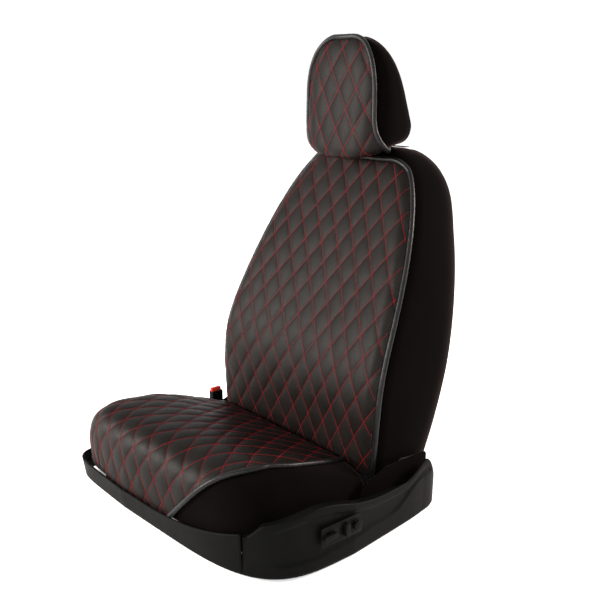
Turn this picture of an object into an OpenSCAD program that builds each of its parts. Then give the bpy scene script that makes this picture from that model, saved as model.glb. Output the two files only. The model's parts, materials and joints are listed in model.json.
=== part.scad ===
// Quilted seat cover set fitted on its front car seat.
// The seat faces -Y, +X is the side with the seat switches, and +Z is up.
// The origin is the centre of the four floor bolts, on the floor.

/* [Backrest] */
// Half of the backrest's greatest width
back_half_w = 250; // [240:1:252]
// Height of the backrest's top above the base
back_top_z = 666; // [650:1:680]
// Rearward travel of the front face for each millimetre of height
back_slope = 0.48; // [0.42:0.01:0.5]
// How far the middle of the front face is sunk between the side bolsters
back_dish = 12; // [0:1:16]

/* [Cushion] */
// Width of the cushion on the buckle side, from its middle
cushion_left_w = 275; // [268:1:277]
// Width of the cushion on the switch side, from its middle
cushion_right_w = 262; // [256:1:264]
// Height of the cushion's crown above the base
cushion_crown_z = 164; // [150:1:172]
// Fall of the cushion towards the back for each millimetre of length
cushion_fall = 0.36; // [0.3:0.01:0.4]

/* [Headrest] */
// Half of the headrest's greatest width
head_half_w = 119; // [112:1:124]
// Height of the headrest's lowest edge above the base
head_low_z = 641; // [640:1:646]
// Height of the headrest's top above the base
head_top_z = 875; // [850:1:890]
// Half of the distance between the two headrest posts
post_half_gap = 65; // [60:1:72]
// Radius of each headrest post
post_r = 6; // [5:0.5:7]

/* [Base] */
// Width of the base on the buckle side, from its middle
base_left_w = 305; // [303:1:310]
// Width of the base on the switch side, from its middle
base_right_w = 303; // [301:1:308]
// Length from the base's widest point to its front
base_front_l = 227; // [225:1:232]
// Length from the base's widest point to its rear
base_rear_l = 275; // [272:1:290]
// Gap between the floor and the plastic covers
floor_gap = 6; // [5:1:10]
// Distance between the floor bolts, the same both ways
bolt_gap = 400; // [380:5:400]

/* [Seat covers] */
// Thickness of the quilted cover panels
cover_t = 4; // [3:0.5:5]
// Gap between a cover panel and the seat trim under it
cover_gap = 0.4; // [0.3:0.1:0.8]
// Radius of the edge piping
piping_r = 4; // [3:0.5:4.5]

/* [Hidden] */

// Backrest profile
back_low_z = 84;
back_front_y = 42;
back_bend_z = 267;
back_bend_soft = 30;
back_wide_z = 250;
back_lower_narrowing = 0.0004;
back_width_z = 672;
back_width_power = 0.29;
back_rear_y = 239;
back_rear_slope = 0.222;
back_rear_bulge = 7;
back_rear_round_z = 556;
back_crest_y = 266;
back_front_round_z = 640;
back_front_round = 8;
back_front_r = 38;
back_rear_r = 88;
back_rings = 24;
back_front_cols = 6;
back_front_arc = 4;
back_rear_arc = 5;
back_rear_cols = 3;

// Cushion profile
cushion_front_y = -284;
cushion_rear_y = 28;
cushion_side_z = 41;
cushion_hem_z = 38.5;
cushion_recess_z = 60;
cushion_bend_y = -135;
cushion_bend_soft = 35;
cushion_left_round = 100;
cushion_right_round = 105;
cushion_left_power = 3.6;
cushion_right_power = 2.3;
cushion_crown_power = 4.4;
cushion_skew = 0.085;
skew_x = -100;
skew_y = -60;
cushion_nose_rows = 8;
cushion_top_rows = 8;
cushion_left_cols = 8;
cover_edge_cols = 6;
cushion_outer_cols = 5;
cushion_wall = 12;
taper_y = -130;
taper_left_w = 32;
taper_right_w = 26;
edge_low_x = 47;
edge_rise_x = 124;
edge_corner_x = 25;
edge_top_x = 10;
edge_top_l = 55;
edge_narrowing = 0.0012;

// Headrest profile
head_front_y = 168;
head_front_lean = 0.09;
head_mid_z = 757;
head_rear_y = 286;
head_rear_lean = 0.36;
head_rear_z = 690;
head_under_rise = 34;
head_top_taper = 0.1;
head_end = 0.985;
head_rings = 18;
head_half_cols = 20;
head_left_v = 67.5;
head_right_v = 46;
head_sweep_v = 48;
head_sweep_level = 0.4;
head_panel_cols = 14;
head_low_power = 5;
head_high_power = 2.6;
head_depth_power = 4;
head_foot_power = 8;
head_plan_power = 3;

// Hinge, posts and rails
hinge_y = 150;
hinge_z = 90;
post_y = 246;
post_z = 655;
post_tilt = 6;
post_down = 150;
post_up = 88;
rail_x = bolt_gap / 2;
rail_half_l = 170;
rail_front_l = 140;
tube_r = 11;
tube_z = 38;
front_tube_y = -190;
back_tube_r = 9;
low_tube_y = 118;
low_tube_z = 96;
top_tube_y = 256;
top_tube_z = 600;
side_tube_low_x = 195;
side_tube_top_x = 130;
running = 0.05;
mould_gap = 0.3;
piping_clear = 0.8;
piping_start = 0.3;

// Base plan
base_mid_y = -60;
base_left_power = 12;
base_right_power = 4;
base_rear_power = 8;
base_skew = 0.063;
base_rear_taper = 0.07;
base_taper_l = 200;
base_wall = 3;
left_corner_a = -150;
right_corner_a = -42;
rear_a = 48;
seam_a = 0.06;
notch_w = 70;
notch_z = 24;

// Buckle and switches
buckle_x = -263;
buckle_pivot_y = 52;
buckle_pivot_z = 36;
switch_x = 305.4;
switch_y = -95;
switch_z = 62;
bezel_t = 2.5;
stem_ys = [-30, 8, 32];
hole_r = 7;
fine = 48;

// Colours
fabric_red_black = [0.13, 0.11, 0.11];
binding_black = [0.1, 0.1, 0.1];
trim_black = [0.06, 0.05, 0.05];
plastic_black = [0.05, 0.05, 0.05];
steel_grey = [0.62, 0.63, 0.65];
dark_steel = [0.25, 0.25, 0.27];
webbing_black = [0.09, 0.09, 0.09];
release_red = [0.85, 0.24, 0.2];

// ---- Shared shape functions ----

function soft_ramp(v, w) = v > 20 * w ? v : w * ln(1 + exp(v / w));
function smooth_step(v) = let (c = min(1, max(0, v))) c * c * (3 - 2 * c);
function super(u, n) = pow(max(0, 1 - pow(abs(u), n)), 1 / n);
function unit(v) = v / max(norm(v), 0.000001);
function flip_x(p) = [-p[0], p[1], p[2]];
function reversed(l) = [for (i = [len(l) - 1:-1:0]) l[i]];
function both_sides(h) = concat(h, reversed([for (p = h) flip_x(p)]));
function flat_list(g) = [for (r = g) each r];

// Normal of a grid of points, from its neighbours
function grid_normal(g, i, j) =
    let (rows = len(g), cols = len(g[0]))
    let (down = g[min(i + 1, rows - 1)][j] - g[max(i - 1, 0)][j])
    let (across = g[i][min(j + 1, cols - 1)] - g[i][max(j - 1, 0)])
    unit(cross(across, down));
function grid_offset(g, d) = [for (i = [0:len(g) - 1])
    [for (j = [0:len(g[0]) - 1]) g[i][j] + d * grid_normal(g, i, j)]];
function part_grid(g, r0, r1, c0, c1) = [for (i = [r0:r1]) [for (j = [c0:c1]) g[i][j]]];

// Triangles of a quad, seen from one side or the other
function quad(a, b, c, d) = [[a, b, c], [a, c, d]];

// Closed solid between stacked rings, which run anticlockwise seen from above.
// Mirrored rings have the same points on both sides of X = 0, and their ends are closed in strips.
module loft(rings, mirrored = false) {
    m = len(rings[0]);
    n = len(rings);
    t = (n - 1) * m;
    sides = [for (i = [0:n - 2]) for (j = [0:m - 1])
        let (k = (j + 1) % m)
        each quad(i * m + j, (i + 1) * m + j, (i + 1) * m + k, i * m + k)];
    low = mirrored
        ? [for (j = [0:m / 2 - 2]) each quad(j, j + 1, m - 2 - j, m - 1 - j)]
        : [[for (j = [0:m - 1]) j]];
    high = mirrored
        ? [for (j = [0:m / 2 - 2]) each quad(t + j, t + m - 1 - j, t + m - 2 - j, t + j + 1)]
        : [[for (j = [m - 1:-1:0]) t + j]];
    polyhedron(flat_list(rings), concat(sides, low, high));
}

// Closed solid between two grids of points of the same size
module shell(outer, inner) {
    r = len(outer);
    c = len(outer[0]);
    s = r * c;
    skin = [for (i = [0:r - 2]) for (j = [0:c - 2])
        let (a = i * c + j)
        each concat(quad(a, a + c, a + c + 1, a + 1), quad(s + a, s + a + 1, s + a + c + 1, s + a + c))];
    ends = [for (j = [0:c - 2])
        let (z = (r - 1) * c + j)
        each concat(quad(j, j + 1, s + j + 1, s + j), quad(z, s + z, s + z + 1, z + 1))];
    edges = [for (i = [0:r - 2])
        let (a = i * c, b = i * c + c - 1)
        each concat(quad(a, s + a, s + a + c, a + c), quad(b, b + c, s + b + c, s + b))];
    polyhedron(flat_list([flat_list(outer), flat_list(inner)]), concat(skin, ends, edges));
}

// Round bead along a path; across is a direction that the path never follows
module bead(path, r, across) {
    n = len(path);
    sides = 8;
    rings = [for (i = [0:n - 1])
        let (t = unit(path[min(i + 1, n - 1)] - path[max(i - 1, 0)]))
        let (u = unit(cross(t, across)))
        let (v = cross(t, u))
        [for (k = [0:sides - 1]) path[i] + r * (cos(k * 360 / sides) * v + sin(k * 360 / sides) * u)]];
    loft(rings);
}

module lifted() translate([0, 0, floor_gap]) children();

// Cylinder between two points
module rod_between(a, b, r) {
    d = b - a;
    turn = atan2(d[1], d[0]);
    lean = acos(d[2] / norm(d));
    translate(a) rotate([0, lean, turn]) cylinder(r = r, h = norm(d), $fn = fine);
}

// Cylinder along X from one X to another
module rod_x(x0, x1, y, z, r) translate([x0, y, z]) rotate([0, 90, 0]) cylinder(r = r, h = x1 - x0, $fn = fine);

// ---- Backrest surface ----

function back_front(z) =
    let (u = max(0, (z - back_front_round_z) / (back_top_z - back_front_round_z)))
    back_front_y + back_slope * soft_ramp(z - back_bend_z, back_bend_soft) + back_front_round * (1 - super(u, 2));
function back_rear_line(z) =
    let (q = min(1, (z - back_low_z) / (back_rear_round_z - back_low_z)))
    back_rear_y + back_rear_slope * (z - back_low_z) + back_rear_bulge * sin(180 * q);
function back_rear(z) =
    let (u = max(0, (z - back_rear_round_z) / (back_top_z - back_rear_round_z)))
    back_rear_line(z) - (back_rear_line(back_top_z) - back_crest_y) * (1 - super(u, 2));
function back_half(z) = z < back_wide_z
    ? back_half_w - back_lower_narrowing * pow(back_wide_z - z, 2)
    : back_half_w * pow(1 - pow((z - back_wide_z) / (back_width_z - back_wide_z), 1.6), back_width_power);
function back_z(i) = back_low_z + (back_top_z - back_low_z) * (1 - pow(1 - i / back_rings, 1.6));

// Half of one level ring of the backrest, from the middle of the front to the middle of the rear
function back_half_ring(z) =
    let (w = back_half(z), f = back_front(z), b = back_rear(z))
    let (rf = min(back_front_r, (b - f) * 0.4), rb = min(back_rear_r, (b - f) * 0.5))
    let (dish = back_dish * min(1, (back_top_z - z) / 300))
    concat(
        [for (i = [0:back_front_cols - 1])
            let (s = (i + 0.5) / back_front_cols)
            [(w - rf) * s, f + dish * pow(1 - s * s, 2), z]],
        [for (i = [0:back_front_arc])
            let (a = -90 + 90 * i / back_front_arc)
            [w - rf + rf * cos(a), f + rf + rf * sin(a), z]],
        [for (i = [0:back_rear_arc])
            let (a = 90 * i / back_rear_arc)
            [w - rb + rb * cos(a), b - rb + rb * sin(a), z]],
        [for (i = [back_rear_cols - 1:-1:0]) [(w - rb) * (i + 0.5) / back_rear_cols, b, z]]);
back_grid = [for (i = [0:back_rings]) both_sides(back_half_ring(back_z(i)))];

// Front part of each ring, from the left edge of the cover to its right edge
back_panel_cols = back_front_cols + 3;
function ring_front(ring, left, right) =
    let (n = len(ring))
    concat([for (j = [n - left:n - 1]) ring[j]], [for (j = [0:right - 1]) ring[j]]);
back_panel_grid = [for (i = [0:back_rings - 3]) ring_front(back_grid[i], back_panel_cols + 1, back_panel_cols)];

// ---- Headrest surface ----

head_level = [for (i = [0:head_rings]) (1 - cos(180 * i / head_rings)) / 2];
function head_point(f, a) =
    let (t = (2 * f - 1) * head_end, z = head_low_z + (head_top_z - head_low_z) * f)
    let (front = head_front_y + head_front_lean * (z - head_mid_z))
    let (rear = head_rear_y - head_rear_lean * max(0, z - head_rear_z))
    let (mid = (front + rear) / 2, deep = (rear - front) / 2 * super(t, t < 0 ? head_foot_power : head_depth_power))
    let (w = head_half_w * super(t, t < 0 ? head_low_power : head_high_power) * (1 - head_top_taper * f))
    let (e = 2 / head_plan_power, rise = head_under_rise * pow(1 - f, 2))
    let (y = mid + deep * sign(a) * pow(abs(sin(a)), e))
    let (k = 1 - pow(1 - max(0, y - front) / (rear - front), 2))
    [w * pow(cos(a), e), y, z + rise * k];
head_grid = [for (f = head_level)
    both_sides([for (i = [0:head_half_cols - 1]) head_point(f, -90 + 180 * (i + 0.5) / head_half_cols)])];

// The headrest cover's switch-side edge sweeps back towards its foot
function head_edge_v(f) = head_right_v + head_sweep_v * pow(max(0, 1 - f / head_sweep_level), 3);
head_panel_grid = [for (i = [1:head_rings - 1])
    let (f = head_level[i], right = head_edge_v(f))
    [for (j = [0:head_panel_cols])
        let (v = -head_left_v + (head_left_v + right) * j / head_panel_cols)
        let (p = head_point(f, -90 + abs(v)))
        v < 0 ? flip_x(p) : p]];

// ---- Cushion surface ----

// The front half of the seat is skewed: it is shorter on the switch side
function skew(x, y, k) = k * max(0, x - skew_x) * max(0, skew_y - y) / (skew_y - cushion_front_y);
function cushion_top(y) = cushion_crown_z - cushion_fall * soft_ramp(y - cushion_bend_y, cushion_bend_soft);
function cushion_taper(y, w) = w * min(1, pow(max(0, (y - taper_y) / (cushion_rear_y - taper_y)), 1.5));

// Row level c rises from 0 at the foot of the nose to 1 at its top; q then runs from 0 to 1 to the rear
function cushion_y(x, c, q) =
    let (m = smooth_step((x + 70) / 140))
    let (r = cushion_left_round * (1 - m) + cushion_right_round * m)
    let (n = cushion_left_power * (1 - m) + cushion_right_power * m)
    let (y = cushion_front_y + r * (1 - pow(1 - pow(c, cushion_crown_power), 1 / n)))
    let (z = y + q * (cushion_rear_y - y))
    z + skew(x, z, cushion_skew);
function cushion_flat_w(left, y) = left
    ? cushion_left_w - cushion_left_round - cushion_taper(y, taper_left_w)
    : cushion_right_w - cushion_right_round - cushion_taper(y, taper_right_w);
function cushion_wall_x(left, c, q) =
    let (n = left ? cushion_left_power : cushion_right_power)
    let (r = left ? cushion_left_round : cushion_right_round)
    let (y = cushion_y(left ? -cushion_left_w : cushion_right_w, c, q))
    (cushion_flat_w(left, y) + r * pow(c, cushion_crown_power / n)) * (left ? -1 : 1);
function cushion_point(x, c, q) =
    let (y = cushion_y(x, c, q), left = x < 0)
    let (n = left ? cushion_left_power : cushion_right_power)
    let (r = left ? cushion_left_round : cushion_right_round)
    let (ux = max(0, (abs(x) - cushion_flat_w(left, y)) / r))
    let (k = pow(max(0, pow(c, cushion_crown_power) - pow(ux, n)), 1 / cushion_crown_power))
    [x, y, cushion_side_z + (cushion_top(y) - cushion_side_z) * k];

// Distance of the cover's switch-side edge from the middle of the seat
function cover_edge_x(c, q) =
    let (y = cushion_y(edge_low_x + edge_rise_x, c, q))
    let (top_y = cushion_y(edge_low_x + edge_rise_x, 1, 0))
    edge_low_x + edge_rise_x * c + edge_corner_x * pow(c, 8)
        + edge_top_x * sin(90 * min(1, (y - top_y) / edge_top_l) * (c < 1 ? 0 : 1))
        - edge_narrowing * pow(max(0, y - taper_y), 2);
cushion_rows = cushion_nose_rows + cushion_top_rows;
cushion_cols = cushion_left_cols + cover_edge_cols + cushion_outer_cols;
function row_c(j) = sin(90 * min(1, j / cushion_nose_rows));
function row_q(j) = max(0, j - cushion_nose_rows) / cushion_top_rows;
function col_x(i, c, q) =
    let (left = cushion_wall_x(true, c, q), right = cushion_wall_x(false, c, q), e = cover_edge_x(c, q))
    let (k = i - cushion_left_cols)
    k <= 0 ? left * sin(-90 * k / cushion_left_cols)
        : k <= cover_edge_cols ? e * k / cover_edge_cols
        : e + (right - e) * sin(90 * (k - cover_edge_cols) / cushion_outer_cols);
cushion_grid = [for (j = [0:cushion_rows])
    let (c = row_c(j), q = row_q(j))
    [for (i = [0:cushion_cols]) cushion_point(col_x(i, c, q), c, q)]];
cushion_under = [for (j = [0:cushion_rows]) [for (i = [0:cushion_cols])
    let (p = cushion_grid[j][i], rim = j == 0 || i == 0 || i == cushion_cols)
    let (sx = 1 - cushion_wall / cushion_left_w)
    let (sy = 1 - cushion_wall / (cushion_rear_y - cushion_front_y))
    rim ? [p[0], p[1], cushion_hem_z]
        : [p[0] * sx, cushion_rear_y - (cushion_rear_y - p[1]) * sy, cushion_recess_z]]];
cushion_panel_grid = part_grid(cushion_grid, 0, cushion_rows, 0, cushion_left_cols + cover_edge_cols);

// ---- Base plan: a runs from -90 at the front, by 0 at the widest point, to 90 at the rear ----

function plan_point(a, w, front_n) =
    let (n = a < 0 ? front_n : base_rear_power, l = a < 0 ? base_front_l : base_rear_l)
    let (r = pow(pow(abs(cos(a)) / w, n) + pow(abs(sin(a)) / l, n), -1 / n))
    let (x = r * cos(a), y = base_mid_y + r * sin(a))
    [x * (1 - base_rear_taper * min(1, max(0, y - base_mid_y) / base_taper_l)), y, 0];
function skewed(p) = p + [0, skew(p[0], p[1], base_skew), 0];
function plan(a) = skewed(a < -90 ? flip_x(plan_point(-180 - a, base_left_w, base_left_power))
    : a > 90 ? flip_x(plan_point(180 - a, base_left_w, base_left_power))
    : plan_point(a, base_right_w, base_right_power));
function plan_out(a) =
    let (t = unit(plan(a + 0.5) - plan(a - 0.5)))
    [t[1], -t[0], 0];

// One section of a cover's wall: outer foot, outer top, lip end, and back down the inside
function cover_section(a, top, lip, lean, foot = 0) =
    let (p = plan(a), n = plan_out(a))
    [for (q = [
        [0, foot], [lean, top], [lean - lip, top], [lean - lip, top - base_wall],
        [lean - base_wall, top - base_wall], [-base_wall, foot]]) p + n * q[0] + [0, 0, q[1]]];
// The rear cover is notched over the rails
function notch_foot(x) = notch_z * smooth_step((notch_w / 2 + 6 - abs(abs(x) - rail_x)) / 12);
function outboard_top(y) = 82 + 34 * exp(-pow((y + 142) / 95, 2)) + 24 * smooth_step((y - 80) / 80)
    - 20 * smooth_step((-226 - y) / 20) - 70 * smooth_step((y - 150) / 60);
function inboard_top(y) = 62 + 34 * smooth_step((y - 40) / 110) - 60 * smooth_step((y - 165) / 48);
function side_lip(y) = 16 - 11 * smooth_step((y - 30) / 60);
function front_top(x) = 40.5 + 29.5 * pow(max(0, (x + 20) / 220), 2);

// ---- Seat covers ----

module panel_solid(g) shell(grid_offset(g, cover_gap + cover_t), grid_offset(g, cover_gap));

module cover_headrest_panel() color(fabric_red_black) lifted() panel_solid(head_panel_grid);

module cover_headrest_piping() {
    g = grid_offset(head_panel_grid, piping_r + cover_gap + piping_clear);
    rows = len(g);
    cols = len(g[0]);
    edge = concat(
        [for (i = [0:rows - 2]) g[i][cols - 1]],
        [for (j = [cols - 2:-1:1]) g[rows - 1][j]],
        [for (i = [rows - 2:-1:0]) g[i][0]]);
    color(binding_black) lifted() bead(edge, piping_r, [0, 1, 0]);
}

module cover_backrest_panel() color(fabric_red_black) lifted() panel_solid(back_panel_grid);

module cover_backrest_piping() {
    g = grid_offset(back_panel_grid, piping_r + cover_gap + piping_clear);
    rows = len(g);
    cols = len(g[0]);
    edge = concat(
        [for (i = [0:rows - 2]) g[i][cols - 1]],
        [for (j = [cols - 3:-1:2]) g[rows - 1][j]],
        [for (i = [rows - 2:-1:0]) g[i][0]]);
    color(binding_black) lifted() bead(edge, piping_r, [0, 1, 0]);
}

strap_y = 272;
strap_z = 666.5;
strap_half_l = 82;
strap_w = 12;
strap_t = 1.6;
module cover_post_strap() color(webbing_black) lifted()
    translate([-strap_half_l, strap_y, strap_z]) cube([2 * strap_half_l, strap_w, strap_t]);

module cover_post_buckle() color(plastic_black) lifted()
    translate([0, strap_y + 6, strap_z + 1.8]) {
        translate([-16, -8, 0]) cube([32, 16, 3]);
        for (x = [-16, 16]) translate([x, 0, 0]) cylinder(r = 7, h = 2.6, $fn = fine);
    }

module cover_cushion_panel() color(fabric_red_black) lifted() panel_solid(cushion_panel_grid);

module cushion_edge(col, first) {
    g = grid_offset(cushion_panel_grid, piping_r + cover_gap + piping_clear);
    start = g[first][col] + piping_start * (g[first + 1][col] - g[first][col]);
    path = concat([start], [for (i = [first + 1:len(g) - 1]) g[i][col]]);
    color(binding_black) lifted() bead(path, piping_r, [1, 0, 0]);
}
module cover_cushion_piping_left() cushion_edge(0, cushion_nose_rows - 1);
module cover_cushion_piping_right() cushion_edge(cushion_left_cols + cover_edge_cols, 0);

anchor_x = 120;
anchor_y = 35;
anchor_z = 50;
anchor_r = 6;
anchor_half_l = 35;
module cover_anchor(side) color(plastic_black) lifted()
    rod_x(side * anchor_x - anchor_half_l, side * anchor_x + anchor_half_l, anchor_y, anchor_z, anchor_r);
module cover_anchor_left() cover_anchor(-1);
module cover_anchor_right() cover_anchor(1);

strap_low_z = 53.5;
under_strap = [25, 268, 1.5];
module cover_strap(side) color(webbing_black) lifted()
    translate([side * anchor_x - under_strap[0] / 2, -240, strap_low_z]) cube(under_strap);
module cover_strap_left() cover_strap(-1);
module cover_strap_right() cover_strap(1);

// ---- Cushion and its frame ----

module cushion_trim() color(trim_black) lifted() shell(cushion_grid, cushion_under);

pan_z = 56.5;
pan_t = 2.5;
pan_half_w = 196;
pan_front_y = -226;
pan_l = 300;
tail_half_w = 240;
tail_y = 33;
tail_l = 97;
pan_hole_gap = 60;
pan_hole_r = 14;
module cushion_pan() color(dark_steel) lifted() difference() {
    union() {
        translate([-pan_half_w, pan_front_y, pan_z]) cube([2 * pan_half_w, pan_l, pan_t]);
        translate([-tail_half_w, tail_y, pan_z]) cube([2 * tail_half_w, tail_l, pan_t]);
    }
    for (i = [-2:2]) for (j = [-3:0])
        translate([i * pan_hole_gap, j * pan_hole_gap, pan_z - 1]) cylinder(r = pan_hole_r, h = pan_t + 2, $fn = fine);
}

frame_x = 191;
frame_t = 3;
frame_front_y = -235;
frame_low_z = 21.3;
frame_l = 425;
frame_h = 34.9;
anchor_bolt_r = 6;
module side_frame(side) color(dark_steel) lifted() difference() {
    translate([side * frame_x - frame_t / 2, frame_front_y, frame_low_z]) cube([frame_t, frame_l, frame_h]);
    for (y = [front_tube_y, hinge_y])
        rod_x(side * frame_x - frame_t, side * frame_x + frame_t, y, tube_z, tube_r + mould_gap);
    rod_x(side * frame_x - frame_t, side * frame_x + frame_t, buckle_pivot_y, buckle_pivot_z,
        anchor_bolt_r + mould_gap);
}
module side_frame_left() side_frame(-1);
module side_frame_right() side_frame(1);

tube_wall = 2;
front_tube_half_l = 215;
module cross_tube(half_l, y) color(dark_steel) lifted() difference() {
    rod_x(-half_l, half_l, y, tube_z, tube_r);
    rod_x(-half_l - 1, half_l + 1, y, tube_z, tube_r - tube_wall);
}
module front_cross_tube() cross_tube(front_tube_half_l, front_tube_y);
module rear_cross_tube() cross_tube(plate_x1, hinge_y);

recline_rod_r = 6;
module recline_rod() color(steel_grey) lifted() rod_x(-pin_x0, pin_x0, hinge_y, hinge_z, recline_rod_r);

plate_x0 = 250.8;
plate_x1 = 254.8;
plate_foot_half = 18;
plate_top_half = 13;
plate_foot_z = 24;
hub_r = 13.5;
pin_r = 7;
pin_x0 = 245.2;
module recliner(side) color(dark_steel) lifted() {
    difference() {
        mirror([side < 0 ? 1 : 0, 0, 0]) translate([plate_x0, 0, 0]) rotate([90, 0, 90])
            linear_extrude(plate_x1 - plate_x0) {
                polygon([[hinge_y - plate_foot_half, plate_foot_z], [hinge_y + plate_foot_half, plate_foot_z],
                    [hinge_y + plate_top_half, hinge_z], [hinge_y - plate_top_half, hinge_z]]);
                translate([hinge_y, hinge_z]) circle(r = hub_r, $fn = fine);
            }
        rod_x(side * plate_x0 - 2 * arm_t, side * plate_x0 + 2 * arm_t, hinge_y, tube_z, tube_r + mould_gap);
    }
    mirror([side < 0 ? 1 : 0, 0, 0]) rod_x(pin_x0, plate_x0 + 1, hinge_y, hinge_z, pin_r);
}
module recliner_left() recliner(-1);
module recliner_right() recliner(1);

// Trimmed side shield over each recliner, which closes the gap between the cushion and the backrest
shield_x = 257;
shield_t = 2.5;
shield_r = 8;
shield_rear_y = 160;
shield_low_z = 36;
shield_mid_z = 80;
shield_top_z = 104;
shield_mid_l = 16;
shield_top_l = 72;
module recliner_shield(side, front_y) color(trim_black) lifted() mirror([side < 0 ? 1 : 0, 0, 0])
    translate([shield_x, 0, 0]) rotate([90, 0, 90]) linear_extrude(shield_t) hull()
        for (q = [[front_y, shield_low_z], [shield_rear_y, shield_low_z], [front_y + shield_mid_l, shield_mid_z],
                [front_y + shield_top_l, shield_top_z], [shield_rear_y, shield_top_z]])
            translate(q) circle(r = shield_r, $fn = 32);
module recliner_shield_left() recliner_shield(-1, 88);
module recliner_shield_right() recliner_shield(1, -14);

recline_motor_x = [195, 236, 236.5];
recline_motor_y = 110;
recline_motor_z = 40;
recline_motor_r = 14;
recline_gearbox = [14, 32, 28];
module recline_motor() color(plastic_black) lifted() {
    rod_x(recline_motor_x[0], recline_motor_x[1], recline_motor_y, recline_motor_z, recline_motor_r);
    translate([recline_motor_x[2], recline_motor_y - recline_gearbox[1] / 2, recline_motor_z - recline_gearbox[2] / 2])
        cube(recline_gearbox);
}

slide_gearbox = [44, 44, 36];
slide_motor_y = -150;
slide_motor_z = 34;
slide_motor_r = 17;
slide_motor_x = 92;
slide_shaft_z = 28;
slide_shaft_r = 4;
slide_shaft_x = 170;
joint_gap = 0.5;
module slide_motor() color(plastic_black) lifted() {
    translate([0, slide_motor_y, slide_motor_z]) cube(slide_gearbox, center = true);
    rod_x(slide_gearbox[0] / 2 + joint_gap, slide_motor_x, slide_motor_y, slide_motor_z, slide_motor_r);
}

module slide_shaft() color(steel_grey) lifted() {
    rod_x(-slide_shaft_x, -slide_gearbox[0] / 2 - joint_gap, slide_motor_y, slide_shaft_z, slide_shaft_r);
    rod_x(slide_motor_x + joint_gap, slide_shaft_x, slide_motor_y, slide_motor_z, slide_shaft_r);
}

// ---- Rails ----

module upper_rail(side) color(steel_grey)
    translate([side * rail_x, rail_half_l, 0]) rotate([90, 0, 0]) linear_extrude(2 * rail_half_l) {
        translate([-17, 6]) square([34, 9]);
        translate([-7, 14]) square([14, 11]);
        translate([-25, 24]) square([50, 3]);
    }
module upper_rail_left() upper_rail(-1);
module upper_rail_right() upper_rail(1);

foot_t = 4;
bolt_r = 5.5;
module lower_rail(side) color(dark_steel) translate([side * rail_x, 0, 0]) difference() {
    union() {
        translate([0, rail_half_l, 0]) rotate([90, 0, 0]) linear_extrude(rail_half_l + rail_front_l) difference() {
            translate([-22, 0]) square([44, 20]);
            translate([-19, foot_t]) square([38, 13]);
            translate([-9, 5]) square([18, 20]);
        }
        translate([-28, -bolt_gap / 2 - 18, 0]) cube([56, 84, foot_t]);
        translate([-28, rail_half_l - 12, 0]) cube([56, 60, foot_t]);
    }
    for (y = [-bolt_gap / 2, bolt_gap / 2]) translate([0, y, -1]) cylinder(r = bolt_r, h = 10, $fn = fine);
}
module lower_rail_left() lower_rail(-1);
module lower_rail_right() lower_rail(1);

// ---- Plastic covers of the base ----

// Wall of a plastic cover between two places on the base plan
module cover_wall(a0, a1, steps, kind) {
    secs = [for (i = [0:steps])
        let (a = a0 + seam_a + (a1 - a0 - 2 * seam_a) * i / steps, p = plan(a))
        kind == "front" ? cover_section(a, front_top(p[0]), 5, 6)
            : kind == "outboard" ? cover_section(a, outboard_top(p[1]), side_lip(p[1]), 1)
            : kind == "inboard" ? cover_section(a, inboard_top(p[1]), side_lip(p[1]), 1)
            : cover_section(a, 36, 5, 1, notch_foot(p[0]))];
    color(plastic_black) lifted() loft(secs);
}
module front_cover() cover_wall(left_corner_a, right_corner_a, 60, "front");
module outboard_cover() difference() {
    cover_wall(right_corner_a, rear_a, 44, "outboard");
    color(plastic_black) lifted() for (y = stem_ys) rod_x(switch_x - 9, switch_x + 5, switch_y + y, switch_z, hole_r);
}
module rear_cover() cover_wall(rear_a, 180 - rear_a, 60, "rear");
module inboard_cover() cover_wall(180 - rear_a, 360 + left_corner_a, 40, "inboard");

// ---- Seat switches ----

module switch_bezel() color(plastic_black) lifted() difference() {
    translate([switch_x, switch_y - 46, switch_z - 18]) cube([bezel_t, 92, 36]);
    for (y = stem_ys) rod_x(switch_x - 1, switch_x + 9, switch_y + y, switch_z, hole_r);
}

cap_x = switch_x + bezel_t + 0.5;
stem_r = 4;
cap_t = 7;
cap_r = 5;
module switch_stem(k, x1) rod_x(switch_x - 7, x1, switch_y + stem_ys[k], switch_z, stem_r);

module switch_slide() color(plastic_black) lifted() {
    hull() for (y = [-11, 11]) rod_x(cap_x, cap_x + cap_t, switch_y + stem_ys[0] + y, switch_z, cap_r);
    switch_stem(0, cap_x + 1);
}

module switch_recline() color(plastic_black) lifted() {
    hull() for (z = [-8, 8]) rod_x(cap_x, cap_x + cap_t, switch_y + stem_ys[1], switch_z + z, cap_r);
    switch_stem(1, cap_x + 1);
}

lumbar_rise = 2;
module switch_lumbar() color(plastic_black) lifted() {
    rod_x(cap_x + lumbar_rise, cap_x + cap_t, switch_y + stem_ys[2], switch_z, 9);
    switch_stem(2, cap_x + lumbar_rise + 1);
}

// ---- Belt buckle ----

module buckle_anchor_bolt() color(steel_grey) lifted() {
    rod_x(-267, -186, buckle_pivot_y, buckle_pivot_z, anchor_bolt_r);
    rod_x(-271, -267.2, buckle_pivot_y, buckle_pivot_z, 10);
}

stalk_top_y = 41;
stalk_top_z = 66;
module buckle_stalk() color(webbing_black) lifted() difference() {
    translate([buckle_x - 2.5, 0, 0]) rotate([90, 0, 90]) linear_extrude(5) hull() {
        translate([buckle_pivot_y, buckle_pivot_z]) circle(r = 12, $fn = 32);
        translate([stalk_top_y, stalk_top_z - 9]) circle(r = 9, $fn = 32);
    }
    rod_x(buckle_x - 4, buckle_x + 4, buckle_pivot_y, buckle_pivot_z, anchor_bolt_r + running);
}

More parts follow.
